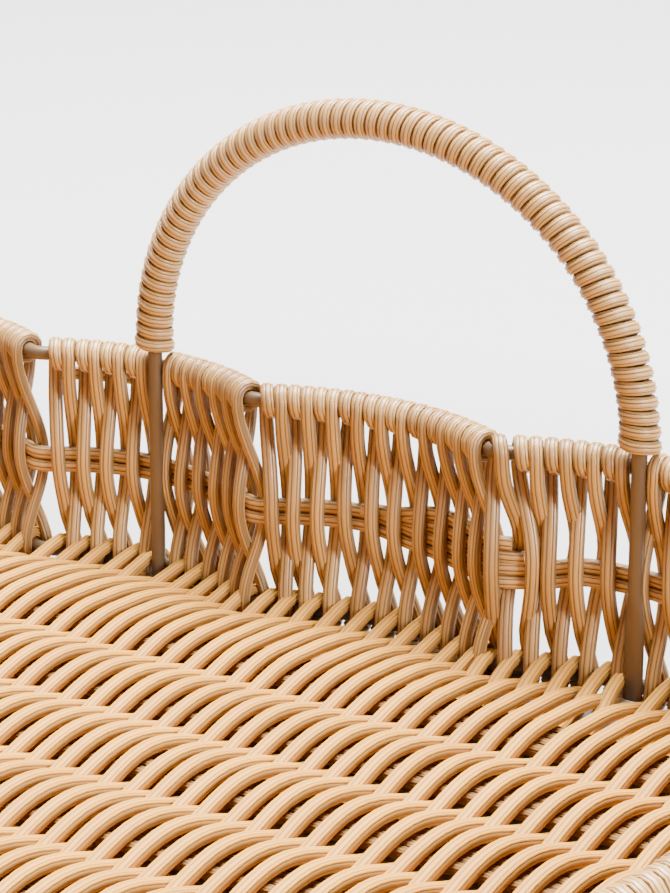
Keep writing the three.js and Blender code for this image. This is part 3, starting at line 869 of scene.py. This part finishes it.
def splice_end(lift, shorter):
    """An old strand on top of the weavers. It rises from 2 mm to its lift in nine steps and sinks
    by 0.9 mm in the last eight, and it is shorter by so many steps."""
    loop = weaver_loop(lift)[SPLICE[0]:SPLICE[1]]
    step = np.arange(len(loop))
    loop[:, 2] -= (
        (lift - START_LIFT) * smooth_step(1 - step / START_STEPS)
        + END_SINK * smooth_step((step - len(loop) + SINK_STEPS) / SINK_STEPS)
    )
    return even_steps(loop[:len(loop) - shorter], END_STEPS)[0]


ends = [splice_end(lift, shorter) for shorter, lift in enumerate(SPLICE_LIFTS)]
piece = add_tubes("weaver_splice", np.stack(ends), UP, STRAND, tone=rng.random(2))
place_piece(piece, weaver_look, "weaver_strand", "mid_weaver_upper")
# One loose end lies outside the back wall, under the rim and left of the handle's first leg.
s = np.linspace(4.0, 23.0, 16)
loose, _ = on_wall("back", 1, s, WRAP_R + LOOSE_OUT, rim_z - LOOSE_DROP + LOOSE_SLOPE * s)
piece = add_tubes("loose_tail", loose[None], UP, STRAND, tone=rng.random(1))
place_piece(piece, weaver_look, "weaver_strand", "mid_weaver_upper")
print(f"splice of {SPLICE[1] - SPLICE[0]} steps, loose end {s[-1] - s[0]:.0f} mm long")

# %% [markdown]
# ## Handle windings
# One strand is wound tightly round each real handle rod, some sixty-five turns side by side. Rings
# would look nearly the same, but a helix has the slight slant of real turns, and its ends show.

# %% Windings
WINDING_TURNS, TURN_STEPS = 65, 18
WINDING_T = 2.7
WINDING_R = WIRE_R + WINDING_T / 2
END_LIFT, END_TURNS, SNUG = 0.25, 1.6, 1.02  # the end turns lie a little proud, and turns touch


def winding(wall):
    """Path, width direction, section and pitch. At angle a the path is centre + r (cos a across -
    sin a other), with across the y axis made square to the rod, and other square to both."""
    line = handle_line(wall, rim_z + WRAP_R + STRAND_T / 2 + STRAND_W / 2)
    steps = WINDING_TURNS * TURN_STEPS
    centre, length = even_steps(line, steps)
    along = travel_of(centre[None])[0]
    across = unit(ALONG_Y - (along @ ALONG_Y)[:, None] * along)
    other = np.cross(along, across)
    angle = 2 * np.pi * np.arange(steps) / TURN_STEPS
    outward = np.cos(angle)[:, None] * across - np.sin(angle)[:, None] * other
    from_end = np.minimum(np.arange(steps), np.arange(steps)[::-1]) / TURN_STEPS
    path = centre + (WINDING_R + END_LIFT * smooth_step(END_TURNS - from_end))[:, None] * outward
    pitch = length / WINDING_TURNS
    return path, along, ribbed_section(pitch * SNUG, WINDING_T, depth=0.19, square=2.4), pitch


for wall in ("back", "front"):
    path, along, section, pitch = winding(wall)
    name = f"handle_winding_{wall}_look"
    piece = add_tubes(name, path[None], along[None], section, tone=rng.random(1))
    place_piece(piece, handle_look, "handle_strand", f"handle_winding_{wall}")
print(f"winding of {WINDING_TURNS} turns, {pitch:.2f} mm apart")

# %% [markdown]
# ## The floor's long strands
# On the real tray the strands of the two handle walls run on as the floor. One of each pair comes
# back over the base wire and goes under the first stake, and the other comes from under the wire
# and goes over it. A bumpy sheet could stand for them, but light falls through the gaps between
# them. So each starts at the place that the table gives, drifts to an even lattice, and rises and
# sinks as a cosine of the distance in stakes, the two sets in opposite phase.

# %% Where strands cross the base wire
HOOK_STEPS, HOOK_TURN = 6, 30  # points round the wire, and degrees between them
UNDER_START, UNDER_END = 0.7, 0.1


def crossing(wall, over):
    """Scallops and places s where the strands cross the base wire over it, or under it."""
    table = pairs[wall]
    return flip(wall, table["scallop"], table["tip_s"] if over else table["low_s"] + FOOT_RUN)


def foot_points(wall, over):
    """Points and tangents on the base wire's centre line where the strands cross it."""
    return on_wall(wall, *crossing(wall, over), 0.0, base_z)


def hook(wall, over):
    """Start of a floor strand. One that goes over the wire rises round its outside, from straight
    below it, at WRAP_R from its centre. One that goes under starts just outside the wire's lowest
    line."""
    scallop, s = crossing(wall, over)
    if over:
        _, n, z = round_wire(s, np.radians(-90 + HOOK_TURN * np.arange(HOOK_STEPS)), base_z)
    else:
        n = np.linspace(UNDER_START, UNDER_END, HOOK_STEPS)
        z = np.full(HOOK_STEPS, base_z - WRAP_R)
    return on_wall(wall, scallop[:, None], s[:, None], n[None], z[None])


print("strands over the back wall's base wire:", len(foot_points("back", True)[0]))

# %% Formulas along a long strand
STEPS_PER_STAKE = 8
stake_pitch = 2 * HALF_ALONG / (STAKES + 1)
floor_lift = base_z - FLOOR_T / 2
# The first stretch from a wire, as height against the share of the way to the first stake.
STRETCH_AT = [0, 0.1, 0.22, 0.36, 0.5, 0.6, 0.75, 1]
STRETCH = [1, 0.84, 0.42, -0.1, -0.56, -0.8, -0.96, -1]
DRIFT, DRIFT_LOSS, DRIFT_FROM, DRIFT_OVER, EDGE = 2.4, 2.0, -20, 70, 25
WALL_REACH, PLUMP_REACH, FLOOR_SWAY = 0.8, 0.5, 0.32


def wave(u):
    """Height of a long strand at u stakes from the wire: cos(pi u), from 1 on the wire to -1 at the
    first stake and so on. Its first stretch from either wire runs nearly straight."""
    near = np.minimum(u, STAKES + 1 - u)
    return np.where(near < 1, np.interp(near, STRETCH_AT, STRETCH), np.cos(np.pi * near))


def lattice_x(count, over):
    """Even places from wall to wall, a quarter of a step in for one set and three quarters for the
    other. All drift to the right: by 2.4 mm left of the middle, by 0.4 mm further right, and less
    and less near the walls."""
    even = -HALF_ACROSS + 2 * HALF_ACROSS * (np.arange(count) + (0.25 if over else 0.75)) / count
    drift = DRIFT - DRIFT_LOSS * smooth_step((even - DRIFT_FROM) / DRIFT_OVER)
    return even + drift * smooth_step((HALF_ACROSS - abs(even)) / EDGE)


def ends_by_x(wall, over):
    """Feet, their tangents, hooks and the hooks' tangents of a handle wall, in the order of x."""
    parts = (*foot_points(wall, over), *hook(wall, over))
    order = np.argsort(parts[0][:, 0])
    return [part[order] for part in parts]


print(f"stakes every {stake_pitch:.2f} mm, long strands {floor_lift:.2f} mm over or under them")


# %% Whole paths of the long strands
def long_strands(over):
    """Paths, width directions and swell of the strands that leave the back wall over the wire, or
    of those that leave it under. With u in stakes from the back wire, y runs straight from stake to
    stake, x goes from the foot to the lattice within 0.8 stakes, and z = wire's z +- lift
    wave(u)."""
    back, back_tangent, first, first_width = ends_by_x("back", over)
    front, front_tangent, last, last_width = ends_by_x("front", over)
    count = len(back)
    u = np.linspace(0, STAKES + 1, (STAKES + 1) * STEPS_PER_STAKE + 1)
    low = np.minimum(u.astype(int), STAKES)
    stakes = HALF_ALONG - stake_pitch * np.arange(1, STAKES + 1)
    knots = np.concatenate([back[:, 1:2], np.tile(stakes, (count, 1)), front[:, 1:2]], 1)
    y = knots[:, low] + (u - low) * (knots[:, low + 1] - knots[:, low])

    lift = np.concatenate([[WRAP_R], np.full(STAKES, floor_lift), [WRAP_R]])
    lift = np.interp(u, np.arange(STAKES + 2), lift)
    z = np.broadcast_to(base_z + (1 if over else -1) * lift * wave(u), y.shape)

    lattice = lattice_x(count, over)[:, None]
    near_back = smooth_step(1 - u / WALL_REACH)
    near_front = smooth_step(1 - (STAKES + 1 - u) / WALL_REACH)
    x = lattice + (back[:, :1] - lattice) * near_back
    x = x + (front[:, :1] - lattice) * near_front
    sway = rng.normal(0, FLOOR_SWAY, (count, STAKES + 2)) * np.r_[0, np.ones(STAKES), 0]
    blend = smooth_step(u - low)
    x = x + sway[:, low] * (1 - blend) + sway[:, low + 1] * blend

    width = (
        back_tangent[:, None] * near_back[None, :, None]
        - front_tangent[:, None] * near_front[None, :, None]
        + np.array([1.0, 0.0, 0.0]) * (1 - near_back - near_front)[None, :, None]
    )
    paths = np.concatenate([first, np.stack([x, y, z], -1), last[:, ::-1]], 1)
    widths = np.concatenate([first_width, width, -last_width[:, ::-1]], 1)
    plump = smooth_step(np.minimum(u, STAKES + 1 - u) / PLUMP_REACH)
    plump = np.r_[np.zeros(HOOK_STEPS), plump, np.zeros(HOOK_STEPS)]
    swell = (1 + plump * (FLOOR_W / STRAND_W - 1), 1 + plump * (FLOOR_T / STRAND_T - 1))
    return paths, widths, swell


print("steps of a long strand between the wires:", (STAKES + 1) * STEPS_PER_STAKE + 1)

# %% Long strands
PART = 25  # long strands in one piece, which keeps a piece under 200,000 triangles
floor_pieces = []
for over in (True, False):
    points, widths, swell = long_strands(over)
    for part in range(2):
        rows = slice(PART * part, PART * part + PART)
        name = f"long_strands_{'over' if over else 'under'}_{part + 1}"
        tones = rng.random(len(points[rows]))
        piece = add_tubes(name, points[rows], widths[rows], STRAND, tone=tones, swell=swell)
        floor_pieces.append(piece)
print("long strands:", [piece.name for piece in floor_pieces])

# %% [markdown]
# ## Stakes and tails
# The real stakes are flat bundles of four strands, which come over the base wire of one long wall
# and run straight to the other. The rest of those walls' strands end just under the wire. A single
# flat bar would pass for a stake from afar, but its ribs show through the floor's gaps, so each
# strand is made.

# %% Which strands make a stake
BUNDLE = 4
stake_y = -HALF_ALONG + stake_pitch * np.arange(1, STAKES + 1)


def nearest_rows(feet_y, number):
    """The rows of the feet nearest to each stake, so many to a stake and none used twice."""
    order = np.argsort(feet_y)
    taken = number * np.arange(STAKES)
    first = np.searchsorted(feet_y[order], stake_y) - number // 2
    first = np.maximum.accumulate(np.maximum(first, 0) - taken) + taken
    return order[first[:, None] + np.arange(number)].ravel()


def stake_ends(wall):
    """Feet, their tangents, hooks and the hooks' tangents of the strands of a long wall's
    stakes."""
    parts = (*foot_points(wall, True), *hook(wall, True))
    rows = nearest_rows(parts[0][:, 1], BUNDLE)
    return [part[rows] for part in parts]


print("strands of the left wall that make stakes:", len(stake_ends("left")[0]))

# %% Stakes
RUN_IN = 16.0  # the four strands of a stake draw together this far inside the wall
STAKE_STEPS, WOBBLE_KNOTS, WOBBLE = 61, 12, 0.12


def stake_strands():
    """Paths of the stakes' strands. x runs evenly from foot to foot. y goes from the foot to the
    strand's place in its bundle within 16 mm, and z from the top of the wire to its middle."""
    left, left_tangent, left_hook, left_width = stake_ends("left")
    right, right_tangent, right_hook, right_width = stake_ends("right")
    bundle = (stake_y[:, None] + (np.arange(BUNDLE) - (BUNDLE - 1) / 2) * STRAND_W).reshape(-1, 1)
    u = np.linspace(0, 1, STAKE_STEPS)
    x = left[:, :1] + (right[:, :1] - left[:, :1]) * u
    near_left = smooth_step(1 - (x - left[:, :1]) / RUN_IN)
    near_right = smooth_step(1 - (right[:, :1] - x) / RUN_IN)
    y = bundle + (left[:, 1:2] - bundle) * near_left + (right[:, 1:2] - bundle) * near_right
    heights = rng.normal(0, WOBBLE, (len(bundle), WOBBLE_KNOTS))
    at = u * (WOBBLE_KNOTS - 1)
    wobble = np.array([np.interp(at, np.arange(WOBBLE_KNOTS), row) for row in heights])
    z = base_z + WRAP_R * (near_left + near_right) + wobble
    near_left, near_right = near_left[..., None], near_right[..., None]
    width = right_tangent[:, None] * near_right - left_tangent[:, None] * near_left
    width = width - ALONG_Y * (1 - near_left - near_right)
    paths = np.concatenate([left_hook, np.stack([x, y, z], -1), right_hook[:, ::-1]], 1)
    return paths, np.concatenate([-left_width, width, right_width[:, ::-1]], 1)


points, widths = stake_strands()
floor_pieces.append(add_tubes("stake_strands", points, widths, STRAND, tone=rng.random(len(points))))
print("stakes of", len(points) // STAKES, "strands each")

# %% Tails, and the looks of the floor
TAIL_STEPS, TAIL_REACH, TAIL_RISE = 5, 1.2, 1.0


def tail_strands(wall):
    """Short ends of the strands of a long wall that go under the base wire. They run inward by 1.2
    mm more than the wire stands out, and rise by 1 mm."""
    foot, tangent = foot_points(wall, False)
    start, width = hook(wall, False)
    t = np.linspace(0.1, 1, TAIL_STEPS)[None]
    reach = np.maximum(abs(foot[:, 0]) - HALF_ACROSS, 0.0)[:, None] + TAIL_REACH
    x = foot[:, :1] - np.sign(foot[0, 0]) * reach * t
    y, z = np.broadcast_arrays(foot[:, 1:2], base_z - WRAP_R + TAIL_RISE * t)
    tail = np.stack([x, y, z], -1)
    tangents = np.repeat(tangent[:, None], TAIL_STEPS, 1)
    return np.concatenate([start, tail], 1), np.concatenate([width, tangents], 1)


for wall in ("left", "right"):
    points, widths = tail_strands(wall)
    tones = rng.random(len(points))
    floor_pieces.append(add_tubes(f"tails_{wall}", points, widths, STRAND, tone=tones))
for piece in floor_pieces:
    # Stakes and tails lie under the floor and wear the strand colour with painted shade.
    below = piece.name.startswith(("stake", "tails"))
    place_piece(piece, stake_shade_look if below else floor_look, "floor_strand", "woven_floor")
print("floor pieces:", {piece.name: 2 * len(piece.data.polygons) for piece in floor_pieces})

# %% [markdown]
# ## The pale stage
# The photograph has a pale ground that shows no edge. A curved backdrop could hide the edge, but it
# would have to stand far away. So a big plane takes the tray's shadow, and its own faint glow grows
# away from the tray, until the far ground and the background are one pale grey. The surroundings
# are dim above and pale near the horizon, which gives the gloss something soft to show.

# %% Ground
STAGE_SIZE, STAGE_DROP = 9.0, 0.0003
GLOW_FROM, GLOW_PER_M, GLOW_LEAST = 0.2, 4.0, 0.08

bpy.ops.mesh.primitive_plane_add(size=STAGE_SIZE, location=(0, 0, -STAGE_DROP))
ground = bpy.context.object
ground.name = "stage_floor"
pale = bpy.data.materials.new("pale_floor")
pale.use_nodes = True
tree = pale.node_tree
paper = tree.nodes["Principled BSDF"]
paper.inputs["Base Color"].default_value = srgb(162, 161, 160)
paper.inputs["Roughness"].default_value = 0.9
paper.inputs["Emission Color"].default_value = srgb(255, 255, 255)
# Glow: (distance - 0.2 m) x 4, from 0.08 up to 1.
distance = tree.nodes.new("ShaderNodeVectorMath")
distance.operation = "LENGTH"
tree.links.new(tree.nodes.new("ShaderNodeTexCoord").outputs["Object"], distance.inputs[0])
beyond = math_node(tree, "SUBTRACT", distance.outputs["Value"], GLOW_FROM)
glow = math_node(tree, "MAXIMUM", math_node(tree, "MULTIPLY", beyond, GLOW_PER_M, True), GLOW_LEAST)
tree.links.new(glow, paper.inputs["Emission Strength"])
ground.data.materials.append(pale)
print("ground of", STAGE_SIZE, "m")

# %% Surroundings
SKY_LEAST, BAND_TOP, BAND_FALL = 0.25, 1.5, 8.0

world = bpy.data.worlds.new("studio")
bpy.context.scene.world = world
world.use_nodes = True
tree = world.node_tree
sky = tree.nodes["Background"]
sky.inputs["Color"].default_value = (0.92, 0.95, 1.0, 1.0)
# Strength: 0.25 + band, with band = 1.5 - 8 |z| kept between 0 and 1, and z that of the direction.
axes = tree.nodes.new("ShaderNodeSeparateXYZ")
tree.links.new(tree.nodes.new("ShaderNodeTexCoord").outputs["Generated"], axes.inputs[0])
fall = math_node(tree, "MULTIPLY", math_node(tree, "ABSOLUTE", axes.outputs[2]), BAND_FALL)
band = math_node(tree, "SUBTRACT", BAND_TOP, fall, True)
tree.links.new(math_node(tree, "ADD", band, SKY_LEAST), sky.inputs["Strength"])
print("surroundings:", world.name)

# %% [markdown]
# ## Lights and camera
# The photograph is lit softly from above, so the tops of the strands are bright and the inside of
# the wall is in half shade. One strong small light would make hard shadows. So a large round one
# hangs over the tray, towards the far wall, and a small one at the right opens the shade a little.
# The camera was solved from the photograph: it looks down a little, across the tray at one handle
# wall.

# %% Lights
def add_light(name, size, power, place, target):
    """A round area light at a place in metres, turned to look at the target."""
    data = bpy.data.lights.new(name, "AREA")
    data.shape = "DISK"
    data.size = size
    data.energy = power
    light = bpy.data.objects.new(name, data)
    light.location = place
    light.rotation_euler = (Vector(target) - Vector(place)).to_track_quat("-Z", "Y").to_euler()
    bpy.context.scene.collection.objects.link(light)


add_light("overhead", size=1.2, power=232.0, place=(-0.1, 0.5, 1.5), target=(0.0, 0.2, 0.0))
add_light("key", size=0.5, power=36.0, place=(1.3, -0.2, 0.54), target=(0.0, 0.1, 0.0))
print("lights:", [light.name for light in bpy.data.lights])

# %% Camera
# Place in millimetres, turn and tilt in degrees, and focal length in pixels of the picture's
# height.
CAMERA = (375.0, -306.0, 250.5)
YAW, PITCH = 36.3, 17.6
FOCAL_PX, PICTURE_H, SENSOR = 3236.0, 893, 24.0

camera_data = bpy.data.cameras.new("camera")
camera_data.sensor_fit = "VERTICAL"
camera_data.sensor_height = SENSOR
camera_data.lens = FOCAL_PX * SENSOR / PICTURE_H
camera = bpy.data.objects.new("camera", camera_data)
camera.location = [v * MM for v in CAMERA]
camera.rotation_euler = (math.radians(90 - PITCH), 0.0, math.radians(YAW))
bpy.context.scene.collection.objects.link(camera)
bpy.context.scene.camera = camera
print(f"camera lens {camera_data.lens:.2f} mm on a {SENSOR} mm sensor")
